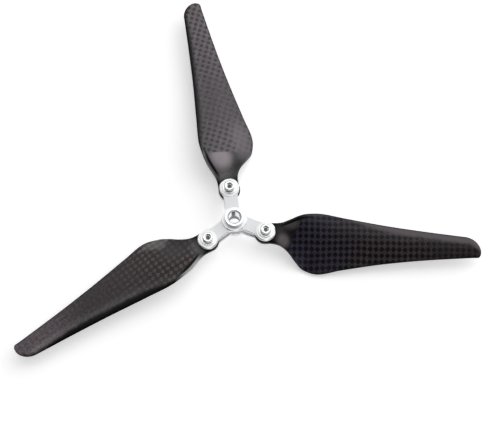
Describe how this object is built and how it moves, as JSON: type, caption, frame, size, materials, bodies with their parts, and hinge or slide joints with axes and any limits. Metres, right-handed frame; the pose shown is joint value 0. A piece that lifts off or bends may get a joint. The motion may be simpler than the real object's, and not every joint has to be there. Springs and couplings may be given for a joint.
{
  "type": "folding propeller",
  "caption": "Folding propeller: carbon-fibre blades, each free to fold on its own pivot screw, clamped between two machined aluminium arm plates around a bore for the motor shaft.",
  "frame": {"origin": "on the propeller's rotation axis, in the plane where the hub seats on the motor: the lower end of the shaft bore", "axes": "+Z along the rotation axis in the direction of thrust, +Y along hub arm 1, arms numbered counter-clockwise seen from +Z"},
  "size_m": [0.2386, 0.1813, 0.017],
  "materials": {
    "carbon_weave": "plain-weave carbon fibre laminate under a gloss clear coat",
    "satin_aluminium": "satin bead-blasted, clear anodised, with bright cut edges",
    "polished_bush": "turned and polished",
    "screw_steel": "bright zinc-plated or stainless steel, polished",
    "washer_steel": "bright rolled steel",
    "brass_bush": "turned",
    "nylon_white": "natural low-friction nylon",
    "nylon_blue": "dyed nylon"
  },
  "bodies": {
    "hub": {"lower_plate": "satin_aluminium", "upper_plate": "satin_aluminium", "spacer": "satin_aluminium", "shaft_bush": "polished_bush", "pivot_screw_1": "screw_steel", "pivot_screw_2": "screw_steel", "pivot_screw_3": "screw_steel", "screw_washer_1": "washer_steel", "screw_washer_2": "washer_steel", "screw_washer_3": "washer_steel", "lock_nut_1": "screw_steel", "lock_nut_2": "screw_steel", "lock_nut_3": "screw_steel", "nut_insert_1": "nylon_blue", "nut_insert_2": "nylon_blue", "nut_insert_3": "nylon_blue", "lower_thrust_washer_1": "nylon_white", "lower_thrust_washer_2": "nylon_white", "lower_thrust_washer_3": "nylon_white", "upper_thrust_washer_1": "nylon_white", "upper_thrust_washer_2": "nylon_white", "upper_thrust_washer_3": "nylon_white"},
    "folding_blade_1": {"blade_1": "carbon_weave", "pivot_bush_1": "brass_bush"},
    "folding_blade_2": {"blade_2": "carbon_weave", "pivot_bush_2": "brass_bush"},
    "folding_blade_3": {"blade_3": "carbon_weave", "pivot_bush_3": "brass_bush"}
  },
  "joints": [
    {"name": "blade_1_fold", "type": "hinge", "parent": "hub", "child": "folding_blade_1", "pos_m": [0, 0.017, 0.0052], "axis": [0, 0, 1], "range_deg": [-23.1, 96.9]},
    {"name": "blade_2_fold", "type": "hinge", "parent": "hub", "child": "folding_blade_2", "pos_m": [-0.01472, -0.0085, 0.0052], "axis": [0, 0, 1], "range_deg": [-13.9, 106.1]},
    {"name": "blade_3_fold", "type": "hinge", "parent": "hub", "child": "folding_blade_3", "pos_m": [0.01472, -0.0085, 0.0052], "axis": [0, 0, 1], "range_deg": [-37.8, 82.2]}
  ]
}
